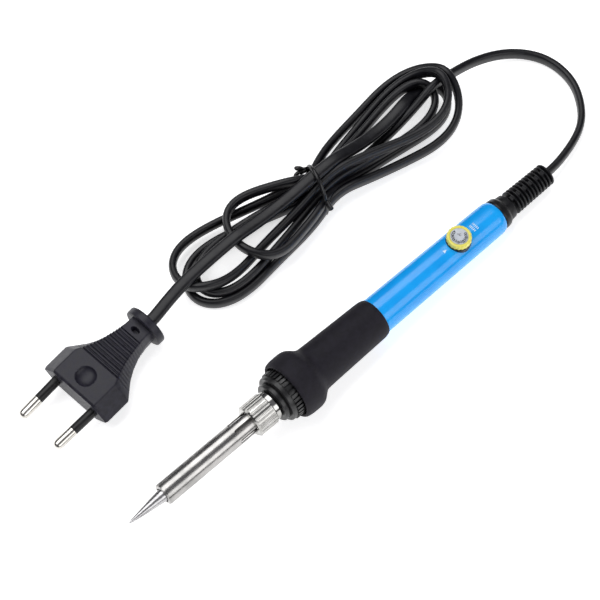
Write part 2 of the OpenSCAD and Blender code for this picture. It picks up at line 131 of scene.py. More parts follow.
# %% [markdown]
# ## Mesh helpers
# Almost every piece here is a skin pulled over a row of rings: a lathe turns a profile into rings,
# and a cord or a plug gets one ring for each place along it.

# %% Skin a row of rings
def skin(rings, loop=False):
    """Points and faces of a skin over rings that all have the same number of points.
    Its ends are closed, or joined to each other if it is a loop."""
    n = len(rings[0])
    points = [p for ring in rings for p in ring]
    rows = len(rings) if loop else len(rings) - 1
    faces = []
    for i in range(rows):
        here, beyond = i * n, (i + 1) % len(rings) * n
        faces += [(here + k, here + (k + 1) % n, beyond + (k + 1) % n, beyond + k) for k in range(n)]
    if not loop:
        faces += [tuple(range(n)), tuple(range(len(points) - n, len(points)))]
    return points, faces


def merge(*skins):
    """Several skins as one."""
    points, faces = [], []
    for more_points, more_faces in skins:
        faces += [tuple(i + len(points) for i in f) for f in more_faces]
        points += more_points
    return points, faces


def piece(name, shape, material, body, stands_for=(), matrix=None, crease=35):
    """Makes a mesh object from a skin, rides it on a body, and hides the nodes it stands for."""
    points, faces = shape
    mesh = bpy.data.meshes.new(name)
    mesh.from_pydata([tuple(matrix @ Vector(p) if matrix else p) for p in points], [], faces)
    work = bmesh.new()
    work.from_mesh(mesh)
    bmesh.ops.recalc_face_normals(work, faces=work.faces)
    work.to_mesh(mesh)
    work.free()
    mesh.shade_smooth()
    mesh.set_sharp_from_angle(angle=math.radians(crease))
    mesh.materials.append(material)
    made = bpy.data.objects.new(name, mesh)
    bpy.context.collection.objects.link(made)
    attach(made, body)
    if stands_for:
        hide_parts(*stands_for)
    print(name, len(mesh.vertices), "points")
    return made


# %% Turn a profile on a lathe
ARC_STEPS = 4


def soften(corners, cut, closed=False):
    """Rounds the corners of a run of points, taking up to cut off each side of a corner."""
    run = [Vector(c) for c in corners]
    longest_share = 0.45
    out = []
    for i, here in enumerate(run):
        if not closed and i in (0, len(run) - 1):
            out.append(here)
            continue
        before = run[i - 1] - here
        after = run[(i + 1) % len(run)] - here
        size = cut[i] if isinstance(cut, (list, tuple)) else cut
        start = here + before.normalized() * min(size, before.length * longest_share)
        stop = here + after.normalized() * min(size, after.length * longest_share)
        for step in range(ARC_STEPS + 1):
            t = step / ARC_STEPS
            out.append(start * (1 - t) ** 2 + here * 2 * t * (1 - t) + stop * t * t)
    return out


def lathe(profile, steps=96, loop=False):
    """Turns a profile of (place along, radius) about the drawing board's x axis."""
    angles = [2 * math.pi * k / steps for k in range(steps)]
    rings = [[(p[0], p[1] * math.cos(a), p[1] * math.sin(a)) for a in angles] for p in profile]
    return skin(rings, loop=loop)


# %% Sweep a round wire along a path
def wire(path, radius, sides=12, loop=False):
    """A round tube along a path, whose rings are kept from twisting."""
    line = [Vector(p) for p in path]
    last = len(line) - 1
    angles = [2 * math.pi * k / sides for k in range(sides)]
    rings, lift = [], None
    for i, here in enumerate(line):
        ahead = line[(i + 1) % len(line)] if loop else line[min(i + 1, last)]
        behind = line[i - 1] if loop else line[max(i - 1, 0)]
        run = (ahead - behind).normalized()
        lift = run.orthogonal() if lift is None else lift
        lift = (lift - run * lift.dot(run)).normalized()
        across = run.cross(lift)
        rings.append([here + (lift * math.cos(a) + across * math.sin(a)) * radius for a in angles])
    return skin(rings, loop=loop)


# %% Smooth a run of points into a curve
def gone_along(line):
    """How far along a line each of its points lies."""
    return np.concatenate([[0], np.cumsum(np.linalg.norm(np.diff(line, axis=0), axis=1))])


def even(line, every):
    """The same line with evenly spaced points."""
    gone = gone_along(line)
    count = max(2, int(round(gone[-1] / every)) + 1)
    want = np.linspace(0, gone[-1], count)
    return np.stack([np.interp(want, gone, line[:, k]) for k in range(line.shape[1])], axis=1)


def curve(points, every):
    """A smooth curve through given points, resampled to even steps of about every."""
    p = np.array(points, float)
    padded = np.vstack([2 * p[0] - p[1], p, 2 * p[-1] - p[-2]])
    steps_between = 24
    fine = []
    for i in range(1, len(padded) - 2):
        a, b, c, d = padded[i - 1 : i + 3]
        for t in np.linspace(0, 1, steps_between, endpoint=False):
            bend = (2 * a - 5 * b + 4 * c - d) * t**2 + (3 * b - a - 3 * c + d) * t**3
            fine.append(0.5 * (2 * b + (c - a) * t + bend))
    fine.append(padded[-2])
    return even(np.array(fine), every)


def eased(t):
    """0 to 1 with a soft start and a soft stop."""
    return t * t * (3 - 2 * t)


# %% [markdown]
# ## Material helpers
# A colour is written as the hex code that a paint shop or a web page would give, and one function turns it
# into the linear numbers that shaders take. One more function adds a node with its settings and its links.

# %% Colours and nodes
def linear(code):
    """A #rrggbb colour as linear RGBA."""
    out = []
    for i in (1, 3, 5):
        c = int(code[i : i + 2], 16) / 255
        out.append(c / 12.92 if c <= 0.04045 else ((c + 0.055) / 1.055) ** 2.4)
    return (*out, 1.0)


def add(material, kind, inputs=None, stops=None, **settings):
    """Adds a node: settings are its own, inputs are values or the outputs they come from, stops fill a ramp."""
    made = material.node_tree.nodes.new("ShaderNode" + kind)
    for name, value in settings.items():
        setattr(made, name, value)
    for name, value in (inputs or {}).items():
        if isinstance(value, bpy.types.NodeSocket):
            material.node_tree.links.new(value, made.inputs[name])
        else:
            made.inputs[name].default_value = value
    for i, (place, colour) in enumerate(stops or ()):
        if i >= len(made.color_ramp.elements):
            made.color_ramp.elements.new(place)
        made.color_ramp.elements[i].position = place
        made.color_ramp.elements[i].color = linear(colour)
    return made


def fresh(name):
    """A material with an empty node tree."""
    made = bpy.data.materials.new(name)
    made.use_nodes = True
    made.node_tree.nodes.clear()
    return made


# %% [markdown]
# ## Two families of finish
# Almost every surface here is either a plastic or a metal, so each family has one recipe.
# A plastic has a faint mottle in its colour and gloss, and the fine grain that the mould left as bump.
# A metal has long or short marks from drawing or turning, which change its gloss and its bump together.
# A metal can also be darkened inside a radius: this is painted shade inside the hot barrel, tinted the brown of
# its oxide.

# %% The end that all finishes share
def coat(m, colour, gloss_from, bump_from, rough, depth_mm, **more):
    """Ends a material: its gloss follows one pattern, and its bump follows another."""
    gloss = add(m, "MapRange", {
        "Value": gloss_from, "From Min": 0.3, "From Max": 0.7, "To Min": rough[0], "To Max": rough[1]})
    bump = add(m, "Bump", {"Height": bump_from, "Distance": depth_mm * MM, "Strength": 1.0})
    surface = add(m, "BsdfPrincipled", {
        "Base Color": colour, "Roughness": gloss.outputs["Result"], "Normal": bump.outputs["Normal"], **more})
    add(m, "OutputMaterial", {"Surface": surface.outputs["BSDF"]})
    return m


# %% The plastic recipe
def plastic(name, dark, light, mottle_mm, grain_mm, depth_mm, rough, ior=1.5, shine=0.5):
    """Moulded or extruded plastic: a mottled colour, and the fine grain that the mould or die left."""
    m = fresh(name)
    place = add(m, "TexCoord").outputs["Object"]
    mottle = add(m, "TexNoise", {"Vector": place, "Scale": 1 / (mottle_mm * MM), "Detail": 4.0})
    grain = add(m, "TexNoise", {"Vector": place, "Scale": 1 / (grain_mm * MM), "Detail": 3.0})
    colour = add(m, "ValToRGB", {"Fac": mottle.outputs["Fac"]}, [(0.35, dark), (0.65, light)])
    patterns = mottle.outputs["Fac"], grain.outputs["Fac"]
    optics = {"IOR": ior, "Specular IOR Level": shine}
    return coat(m, colour.outputs["Color"], *patterns, rough, depth_mm, **optics)


# %% The metal recipe
def blacken(m, place, shade, node, radius, station):
    """Paints shade into a colour where a point of a node lies within a radius and behind a station, in mm: the
    shade inside the barrel, together with the brown of the heat oxide there.
    """
    local = nodes[node].matrix_world.inverted()
    off = add(m, "VectorMath", {0: place, 1: local @ nose}, operation="SUBTRACT").outputs["Vector"]
    axis = local.to_3x3() @ back
    along = add(m, "VectorMath", {0: off, 1: axis}, operation="DOT_PRODUCT")
    square = add(m, "VectorMath", {0: off, 1: axis}, operation="CROSS_PRODUCT")
    out = add(m, "VectorMath", {0: square.outputs["Vector"]}, operation="LENGTH")
    edge, fade = 0.1, 0.5
    within = add(m, "MapRange", {
        "Value": out.outputs["Value"], "From Min": (radius - edge) * MM, "From Max": (radius + edge) * MM,
        "To Min": 1.0, "To Max": 0.0})
    behind = add(m, "MapRange", {
        "Value": along.outputs["Value"], "From Min": station * MM, "From Max": (station + fade) * MM})
    both = {0: within.outputs["Result"], 1: behind.outputs["Result"]}
    black = add(m, "Math", both, operation="MULTIPLY").outputs["Value"]
    # painted shade: inside the barrel the colour is mixed towards a dark oxide brown
    return add(m, "MixRGB", {"Fac": black, "Color1": shade, "Color2": linear("#3a332d")}).outputs["Color"]


def metal(name, dark, light, mark_mm, depth_mm, rough, blotch_mm=6, bore=None):
    """Bare or plated metal: fine marks as long as mark_mm says along, across and up the iron.
    bore is the node, radius and station within which shade is painted."""
    m = fresh(name)
    place = add(m, "TexCoord").outputs["Object"]
    lean = math.atan2(back.z, back.x)
    scale = tuple(1 / (s * MM) for s in mark_mm)
    straight = add(m, "Mapping", {"Vector": place, "Rotation": (0, lean, 0), "Scale": scale})
    marks = add(m, "TexNoise", {"Vector": straight.outputs["Vector"], "Scale": 1.0, "Detail": 4.0})
    blotch = add(m, "TexNoise", {"Vector": place, "Scale": 1 / (blotch_mm * MM), "Detail": 3.0})
    colour = add(m, "ValToRGB", {"Fac": blotch.outputs["Fac"]}, [(0.35, dark), (0.65, light)])
    shade = colour.outputs["Color"]
    # paints shade inside the barrel, where little light reaches
    if bore:
        shade = blacken(m, place, shade, *bore)
    return coat(m, shade, marks.outputs["Fac"], marks.outputs["Fac"], rough, depth_mm, Metallic=1.0)


def dress(name, material):
    """Gives a frame node its finish."""
    for place in nodes[name].material_slots:
        place.material = material


# %% [markdown]
# ## The cord
# The cord is flat two-core flex, 5 mm wide and 3 mm thick. It leaves the iron on edge, bows round on the table,
# and is wound to and fro through a wire tie: four turns to the left of the tie and four to the right.
# Its last stretch turns flat and runs over the whole hank to the plug.
# A rope simulation could lay it, but it would never fall into this neat hank. So the route is drawn flat on the
# table first, as one loop after another from a few lengths for each, and its heights are found after that,
# from which stretch lies on which.

# %% Draw one half turn
CORD_W, CORD_T = 5.0, 3.0
exit_mm = IRON @ Vector((span("strain_relief")[1], 0, 0)) / MM
waist_x = 39
step_mm = 1.6


def half_turn(way, reach, middle, half, first, last, start_slot, end_slot, low_slim, high_slim):
    """Half a turn of the hank: out from the tie on its first side, round, and back on its last side.
    A loop is a teardrop as wide as half says, and near the tie it is drawn in to its slot there."""
    steps, shut_from = 60, 0.6
    out = []
    for i in range(steps + 1):
        turn = math.pi / 2 * (first + (last - first) * i / steps)
        slim = low_slim if turn < 0 else high_slim
        swell = math.sqrt((1 + slim) ** (1 + slim) / slim**slim)
        shut = eased(1 - min(1, math.cos(turn) / shut_from))
        slot = start_slot if i < steps / 2 else end_slot
        bulge = half * swell * math.sin(turn) * max(0, math.cos(turn)) ** slim
        out.append((waist_x + way * reach * math.cos(turn), middle + (slot - middle) * shut + bulge))
    return out


# %% Draw the route on the table
low, high, left, right = -1, 1, -1, 1
lead = [
    (exit_mm.x, 0), (exit_mm.x + 5, 0), (exit_mm.x + 13, 1.5), (128, 4), (135, 8), (140, 14), (144, 21),
    (145, 29), (144, 36), (140, 43), (134, 48.5), (127, 52), (119, 54), (111, 54.4), (102, 54), (92, 53.4),
    (80, 53.2), (68, 53.4), (56, 54), (47, 54.6), (waist_x, 55)]
# one row for each half turn: side, reach, middle, half width, the sides it leaves and comes back on,
# its slots at the tie, how slim its low and high strands start, and its rank in the pile
turns = [
    ("left_1", left, 66, 55.3, 12.3, high, low, 55.0, 48.6, 1.0, 1.5, 0),
    ("right_1", right, 66.6, 53.6, 16.2, low, high, 48.6, 59.8, 1.3, 0.85, 3),
    ("left_2", left, 67, 61.4, 12.2, high, low, 59.8, 53.8, 1.3, 1.6, 2),
    ("right_2", right, 63.6, 54.4, 12.0, low, high, 53.8, 57.6, 1.6, 1.0, 4),
    ("left_3", left, 62.5, 55.0, 9.6, high, low, 57.6, 52.4, 1.3, 1.3, 1),
    ("right_3", right, 60.0, 54.8, 8.4, low, high, 52.4, 57.0, 1.3, 1.3, 1),
    ("left_4", left, 41.4, 56.9, 13.8, high, low, 57.0, 50.6, 1.0, 1.3, 3),
]
plug_x, plug_y, plug_z = (v / MM for v in PLUG.translation)
last_out = [
    (waist_x, 50.6), (47, 49.8), (57, 48.5), (68, 47.5), (79, 45.9), (88, 44.6), (96, 44.8), (102, 48),
    (104.4, 53.4), (102, 57.4), (97, 59.2), (90, 57.8), (80, 56), (70, 55.4), (60, 55.4), (50, 56),
    (waist_x, 56.4), (28, 56.4), (14, 57), (0, 57.8), (-14, 58.6), (-27, 58.4), (-37, 57.8),
    (plug_x + 5, plug_y + 0.35), (plug_x, plug_y)]

# each point is x, y, its rank in the pile, and its layer of the two at the tie
upper_slots = (53.8, 57.0)
drawn = [(x, y, 2, 0) for x, y in curve(lead, 1.0)]
for name, *numbers, pile_rank in turns:
    strand = half_turn(*numbers)
    start_slot, end_slot = numbers[6:8]
    for i, (x, y) in enumerate(strand):
        slot = start_slot if i < len(strand) / 2 else end_slot
        drawn.append((x, y, pile_rank, 1 if slot in upper_slots else 0))
drawn += [(x, y, 0, 0) for x, y in curve(last_out, 1.0)]
drawn = np.array(drawn)
# where two stretches meet, the shared point is kept once
steps = np.linalg.norm(np.diff(drawn[:, :2], axis=0), axis=1)
drawn = drawn[np.concatenate([[True], steps > 0.05])]
gone = gone_along(drawn[:, :2])
count = int(gone[-1] / step_mm)
want = np.linspace(0, gone[-1], count)
route = np.stack([np.interp(want, gone, drawn[:, k]) for k in (0, 1)], axis=1)
nearest = np.searchsorted(gone, want).clip(0, len(drawn) - 1)
rank, layer = drawn[nearest, 2], drawn[nearest, 3]
for _ in range(12):
    route[1:-1] = route[1:-1] / 2 + (route[:-2] + route[2:]) / 4
print("route", count, "points,", round(gone[-1]), "mm on the table")

# %% [markdown]
# The cord turns from its edge onto its flat side on the last bend. After that it lies over everything.
# Each point has a rank, and where two strands cross, the one of higher rank lies on top.
# In the tie the strands lie side by side in two layers instead, with the flat run over both.

# %% Rank the strands
FLAT_RANK, CLIMB_RANK = 9, 5
flat_after, flat_over = 76, 14
last_start = gone[-1] - gone_along(curve(last_out, 1.0))[-1]
flatness = eased(np.clip((want - last_start - flat_after) / flat_over, 0, 1))
in_last = want > last_start
on_top = in_last & (flatness > 0.5) & (route[:, 0] < 90)
rank[in_last] = 0
rank[on_top] = FLAT_RANK
# the far strand of the third right loop climbs over the two wider loops on its way back to the tie
rank[(rank == 1) & (route[:, 0] > waist_x) & (route[:, 0] < 77) & (route[:, 1] > 57)] = CLIMB_RANK
in_tie = np.abs(route[:, 0] - waist_x) < 7
tie_rank = np.where(rank == FLAT_RANK, FLAT_RANK, layer)

# %% [markdown]
# A height is found for each point by pushing: wherever two stretches cross, the upper one is lifted
# off the lower, and the whole line is smoothed again, until it rests in long low humps.

# %% Find which point lies over which
half_side = CORD_T / 2 + (CORD_W - CORD_T) / 2 * flatness
half_tall = CORD_W / 2 - (CORD_W - CORD_T) / 2 * flatness
on_table = half_tall + 0.1
same_strand = 14
apart = np.linalg.norm(route[:, None] - route[None], axis=2)
reach = half_side[:, None] + half_side[None]
close = (apart < reach) & (np.abs(want[:, None] - want[None]) > same_strand)
either_in_tie = in_tie[:, None] | in_tie[None]
above_it = np.where(either_in_tie, tie_rank[:, None] > tie_rank[None], rank[:, None] > rank[None])
over, under = np.nonzero(close & above_it)
roundness = 0.9
off_centre = apart[over, under] / reach[over, under]
need = (half_tall[over] + half_tall[under]) * np.sqrt(1 - off_centre**2 * roundness)
print(len(over), "places where one stretch lies on another")

# %% Push and smooth the heights
pulls, rests = 400, 3
fixed = {i: exit_mm.z - 0.1 * i for i in range(4)}
fixed.update({count - 1 - i: plug_z + 0.06 * i for i in range(3)})
height = on_table.copy()
height[0] = exit_mm.z
for pull in range(pulls + rests):
    short = height[under] + need - height[over]
    push = np.zeros(count)
    np.maximum.at(push, over, short)
    if pull < pulls:
        height += np.clip(push, 0, None) * 0.5
    height[1:-1] = height[1:-1] * 0.4 + (height[:-2] + height[2:]) * 0.3
    height = np.maximum(height, on_table)
    for i, z in fixed.items():
        height[i] = z
short = height[under] + need - height[over]
print("highest point", round(height.max(), 1), "mm, deepest bite", round(max(0, short.max()), 2), "mm")

# %% [markdown]
# The tube itself is a flattened oval, a little squarer than an ellipse, skinned along that line.
# It is turned by a quarter where the cord lies down.

# %% Skin the cord
path = np.column_stack([route, height])
cord_sides, squareness = 32, 2.7
cord_oval = []
for k in range(cord_sides):
    a = 2 * math.pi * k / cord_sides
    u, v = (math.copysign(abs(part) ** (2 / squareness), part) for part in (math.cos(a), math.sin(a)))
    cord_oval.append((CORD_W / 2 * u, CORD_T / 2 * v))
rings = []
for i, here in enumerate(path):
    run = Vector(path[min(i + 1, count - 1)] - path[max(i - 1, 0)]).normalized()
    across = Vector((-run.y, run.x, 0)).normalized()
    above = run.cross(across)
    quarter = math.pi / 2 * (1 - flatness[i])
    wide = across * math.cos(quarter) + above * math.sin(quarter)
    thin = above * math.cos(quarter) - across * math.sin(quarter)
    rings.append([Vector(here) + wide * u + thin * v for u, v in cord_oval])

# %% [markdown]
# ## Finishes for the black parts
# Nearly everything black here is plasticised vinyl or a filled moulding. They differ in grain and gloss:
# flex comes smooth and satin from its die, the grip is dull and soft, and the plug has a fine eroded grain.
# One black for all of them would be quicker, but then the iron would look like a single casting.
# Real grain is a few hundredths of a millimetre and would not show, so each grain here is drawn coarser.
# Each call gives a dark and a light colour, the mottle's and the grain's size and the grain's depth in mm,
# the range of roughness, the IOR, and how strongly the surface shines.

# %% Black finishes
dull, satin = 0.28, 0.4
# extruded vinyl: a soft, even sheen that follows each bend
flex_vinyl = plastic("flex_vinyl_extruded", "#0b0b0f", "#121217", 3, 0.5, 0.012, (0.32, 0.42), 1.53, 0.3)
# moulded silicone: velvety, with no clear highlight
grip_foam = plastic("grip_silicone_moulded", "#17151c", "#201e26", 2.5, 0.35, 0.03, (0.6, 0.72), 1.42, dull)
# moulded soft vinyl: dark between its ribs, with a narrow sheen on each
boot_vinyl = plastic("boot_vinyl_moulded", "#0b0b0e", "#131317", 2, 0.4, 0.015, (0.36, 0.48), 1.53, dull)
# moulded in an eroded tool: a charcoal skin that scatters light
plug_vinyl = plastic("plug_vinyl_moulded", "#191821", "#24232e", 2, 0.45, 0.03, (0.38, 0.5), 1.53, dull)
# pressed phenolic resin: hard and slightly glossy, which draws its steps
bush_phenolic = plastic("bush_phenolic_moulded", "#08080a", "#101012", 1.5, 0.3, 0.012, (0.3, 0.45), 1.6, satin)
# moulded nylon: deep black with a low gloss
cap_nylon = plastic("cap_nylon_moulded", "#08080a", "#0f0f11", 2, 0.4, 0.01, (0.3, 0.4), 1.53, dull)
# vinyl drawn over wire: glossier than the flex, so that the tie stands out on it
tie_vinyl = plastic("tie_vinyl_coating", "#08080a", "#101013", 1, 0.3, 0.01, (0.26, 0.36), 1.53, satin)
# moulded nylon on the pins: plain satin black against bright metal
pin_cover = plastic("pin_cover_nylon", "#0a0a0c", "#121214", 2, 0.3, 0.008, (0.32, 0.42), 1.53, dull)

# %% [markdown]
# ## Finishes for the metals
# Polished metal shows mostly what is around it, so the marks that a tool or a die left matter more
# than its colour. Each call gives two colours, the marks' length along, across and up the iron and
# their depth in mm, and the range of roughness.
# The IOR is left alone, because a metal's colour already says how it reflects.

# %% Metal finishes
mouth = span("tip_sleeve")[0]
# iron plate over copper, dulled by heat: turned rings run round the cone, and shade is painted on it inside the
# barrel, tinted like heat oxide
tip_bore_shade = ("soldering_tip", 9, mouth + 1.5)
tip_plate = metal("tip_iron_plated", "#9c9b9c", "#bdbcbd", (0.25, 6, 6), 0.004, (0.22, 0.34), 3, tip_bore_shade)
# drawn stainless tube: long dark and bright streaks along it, and painted shade inside it and its slots
barrel_bore_shade = ("tip_sleeve", 4.15, mouth + 1.2)
barrel_steel = metal(
    "barrel_stainless_drawn", "#959492", "#aeacaa", (9, 0.3, 0.3), 0.002, (0.2, 0.3), bore=barrel_bore_shade)
# nickel on turned brass: close to a mirror, so that every flute catches light
nut_nickel = metal("nut_brass_nickel_plated", "#a5a4a1", "#bdbcb9", (0.4, 3, 3), 0.0006, (0.14, 0.17))
# the same plate on the plug's pins, with drawing marks along them
pin_nickel = metal("pin_brass_nickel_plated", "#bdbab4", "#d6d3cd", (4, 0.3, 0.3), 0.002, (0.16, 0.26))
# tinned copper wire: greyer and softer
wire_tin = metal("wire_copper_tinned", "#b5b3ae", "#cbc9c4", (4, 0.3, 0.3), 0.002, (0.25, 0.35))

# %% Bright finishes
# polished ABS: clean blue with crisp highlights along the tube
handle_blue = plastic("handle_abs_gloss", "#0a9ef4", "#0ea7fb", 9, 1.2, 0.003, (0.16, 0.22), 1.52)
# moulded ABS: pale yellow with a soft sheen on its scallops
dial_yellow = plastic("dial_abs_yellow", "#e6dc5a", "#f0e873", 3, 0.5, 0.006, (0.34, 0.44), 1.52)
# a printed label and inks: flat and matt
dial_grey = plastic("dial_label_printed", "#bfc4cc", "#cdd1d8", 2, 0.3, 0.004, (0.4, 0.5))
ink_dark = plastic("ink_dark_printed", "#24262c", "#33363d", 1, 0.2, 0.002, (0.5, 0.6))
ink_white = plastic("ink_white_printed", "#bcdcf5", "#d8ebfa", 1, 0.2, 0.002, (0.45, 0.55))

# %% Inner finishes
# fired ceramic and woven glass: chalky white, one smooth and one fibrous
alumina = plastic("alumina_fired", "#e6e3dc", "#f3f1ec", 2, 0.3, 0.006, (0.35, 0.5), 1.76)
glass_sleeve = plastic("glass_fibre_woven", "#dcdad0", "#efede6", 0.8, 0.4, 0.08, (0.7, 0.85))
# a lacquered board and dipped parts: wet-looking gloss, each in its usual colour
board_green = plastic("board_glass_epoxy_lacquered", "#14532c", "#1c6b3a", 3, 0.5, 0.01, (0.25, 0.4), 1.55)
film_red = plastic("capacitor_epoxy_dipped", "#8a2f12", "#a33a18", 3, 0.8, 0.02, (0.2, 0.3), 1.55)
resistor_tan = plastic("resistor_lacquer_dipped", "#b99763", "#d0ae7b", 1.5, 0.4, 0.02, (0.3, 0.4), 1.55)
diac_blue = plastic("diode_glass_lacquered", "#1b3f8c", "#2a56ad", 1.5, 0.4, 0.01, (0.15, 0.25))
# vinyl and nylon: the plain satin of wire and of a moulded shaft
wire_brown = plastic("wire_vinyl_brown", "#4a2a17", "#5d3820", 2, 0.4, 0.01, (0.3, 0.4), 1.53)
shaft_nylon = plastic("shaft_nylon_moulded", "#dcdcd4", "#ecece6", 2, 0.4, 0.01, (0.4, 0.5), 1.53)
print(len(bpy.data.materials), "materials so far")

# %% [markdown]
# ## Parts that keep their shape
# The barrel, the nut, the bush and everything inside the handle are already the right shape in the frame,
# because they were drawn as turned and moulded parts. They only need a finish.

# %% Dress the frame nodes that keep their shape
finishes = {
    "tip_sleeve": barrel_steel,
    "barrel_nut": nut_nickel,
    "front_bush": bush_phenolic,
    "vent_ring": bush_phenolic,
    "heater_rod": alumina,
    "heater_flange": alumina,
    "heater_leads": wire_tin,
    "lead_sleeves": glass_sleeve,
    "dial_bezel": cap_nylon,
    "pot_shaft": shaft_nylon,
    "pot_body": cap_nylon,
    "circuit_board": board_green,
    "triac": bush_phenolic,
    "film_capacitor": film_red,
    "resistors": resistor_tan,
    "diac": diac_blue,
    "mains_wires": wire_brown,
    "cord_clamp": cap_nylon,
    "rear_cap": cap_nylon,
    "cord_core": flex_vinyl,
}
for name, finish in finishes.items():
    dress(name, finish)
print("dressed", len(finishes), "nodes")

# %% Put the cord on the table
TABLE = Matrix.Scale(MM, 4)
cord_solids = ("cord_lead", "cord_hank", "cord_tail")
cord = piece(
    "flat_mains_cord", skin(rings), flex_vinyl, "handle", cord_solids, TABLE, crease=60)

# %% [markdown]
# ## The wire tie
# A tie of vinyl-covered wire holds the hank. It goes once round, lies a little askew,
# and its two ends are twisted together and bent back into small loops.
# It is a round wire swept along an outline that is taken from the hank's real height at that place.

# %% Make the ring of the tie
tie_half, tie_r = 8.4, 0.85
at_tie = np.abs(path[:, 0] - waist_x) < 3
tie_top = float(height[at_tie].max()) + CORD_T / 2 + tie_r
tie_place, tie_lean = Vector((waist_x - 2.5, 54, 0)) * MM, math.radians(-18)
TIE = Matrix.Translation(tie_place) @ Matrix.Rotation(tie_lean, 4, "Z") @ TABLE
around = [
    (0, -tie_half, 1), (0, tie_half, 1), (0, tie_half, tie_top - 4.5),
    (0, 4.4, tie_top), (0, -1.5, tie_top), (0, -tie_half + 0.8, tie_top - 6)]
round_hank = [tuple(p) for p in soften(around, 4, closed=True)]
tie_ring = wire(even(np.array([*round_hank, round_hank[0]]), 0.7)[:-1], tie_r, loop=True)

# %% Bend the ends of the tie
knot = Vector((-1.0, tie_half - 0.4, tie_top - 9))
long_ear = [
    (0.4, 0, 3), (-1.0, 0.4, 1.2), (-2.8, 1.0, 0.6), (-4.2, 0.6, -0.2),
    (-4.2, -0.2, -1.4), (-2.8, -0.4, -1.6), (-1.2, 0.2, -0.6)]
short_ear = [
    (0.3, 0.2, 2.8), (-0.6, 1.0, 1.6), (-1.8, 2.2, 1.6), (-3.0, 2.4, 2.2), (-3.0, 1.6, 3.2), (-1.6, 1.0, 2.8)]
stub = [(1.2, 1.4 - 2 * tie_half, 2.5), (1.5, -0.2 - 2 * tie_half, 1.4), (2.0, -1.4 - 2 * tie_half, 0)]
ends = []
for bend, r in ((long_ear, tie_r), (short_ear, tie_r), (stub, tie_r * 1.25)):
    ends.append(wire(curve([tuple(knot + Vector(p)) for p in bend], 0.4), r))
tie_shape = merge(tie_ring, *ends)
tie = piece("wire_tie", tie_shape, tie_vinyl, "handle", ("cord_tie",), TIE, crease=60)

# %% [markdown]
# ## The plug
# A flat two-pin plug is moulded straight onto the cord. Its body widens from a ribbed neck to a six-sided
# block, with a round dish for the fingers on each face and a small oblong hole behind the collar.
# It could be a block with pieces cut away. Here it is one skin of close rings, because its sides curve
# all the way, and the ribs, the dish and the hole are pressed into it by moving points.

# %% Set out the plug's outline
plug_across = plug_above.cross(plug_along)
across_half = max(abs((p - PLUG.translation).dot(plug_across)) for p in places("plug_body")) / MM
tall_half = 6.85
neck = 2.5
stations = np.array([neck, 7, 12, 17, 21, 24, 27.3, plug_len - 1.0, plug_len])
ridge = np.array([5.3, 5.6, 6.9, 8.9, 11.2, 13.6, across_half, across_half, across_half - 0.5])
shelf = np.array([4.6, 4.7, 5.4, 6.4, 7.6, 8.8, 10.4, 10.4, 10.1])
tall = np.array([4.6, 4.9, 5.5, 6.1, 6.5, 6.8, tall_half, tall_half, tall_half - 0.8])


def at_station(values, at):
    """A value along the plug, with the kinks between its stations rounded."""
    nearby = (-0.4, -0.2, 0, 0.2, 0.4)
    return float(sum(np.interp(at + shift, stations, values) for shift in nearby) / len(nearby))


# %% Press the ribs, the dish and the hole
rib_from, rib_to, rib_pitch, rib_depth = 9, 25.5, 1.3, 0.55
dish_at, dish_r, dish_depth = plug_len - 6.9, 3.9, 1.7
hole_at, hole_half_along, hole_half_across, hole_depth = 6.5, 0.95, 1.7, 2.6


def pressed(at, y, z, tall_here):
    """Moves one point of the plug's skin in, where a rib, the dish or the hole is pressed."""
    face = 1 if z > 0 else -1
    share = abs(z) / tall_here
    if share > 0.3 and rib_from < at < rib_to:
        groove = max(0, math.cos(2 * math.pi * at / rib_pitch)) ** 0.5
        z -= face * rib_depth * groove * min(1, (share - 0.3) / 0.2)
    if abs(z) > 0.8 * tall_here:
        dish = math.hypot(at - dish_at, y) / dish_r
        z -= face * dish_depth * math.sqrt(1 - dish * dish) if dish < 1 else 0
        hole = math.hypot((at - hole_at) / hole_half_along, y / hole_half_across)
        z -= face * hole_depth * min(1, max(0, (1.15 - hole) / 0.3))
    return at, y, z


# %% Skin the plug
broad_sides, broad_parts, narrow_parts = (4, 19), 56, 5
plug_rings = []
for at in np.arange(neck, plug_len + 0.01, 0.2):
    a, b, h = (at_station(values, at) for values in (ridge, shelf, tall))
    rim = soften([(b, h), (-b, h), (-a, 0), (-b, -h), (b, -h), (a, 0)], 0.5, closed=True)
    ring = []
    for i, start in enumerate(rim):
        stop = rim[(i + 1) % len(rim)]
        between_corners = i % (ARC_STEPS + 1) == ARC_STEPS
        parts = broad_parts if i in broad_sides else narrow_parts if between_corners else 1
        ring += [start.lerp(stop, k / parts) for k in range(parts)]
    plug_rings.append([pressed(at, y, z, h) for y, z in ring])
collar_r, collar_len = 8.4, 3.3
collar = lathe(soften([(0, 0.01), (0, collar_r), (collar_len, collar_r), (collar_len, 0.01)], 0.7), 72)
plug_shape = merge(skin(plug_rings), collar)
plug = piece("flat_plug", plug_shape, plug_vinyl, "handle", ("plug_body",), PLUG, crease=50)

# %% [markdown]
# The pins are turned brass under nickel, and the half nearest the plug is covered so that fingers can't
# touch it. Both are lathe work. Each pin stands where its mount in the record says, so it still fits a socket.

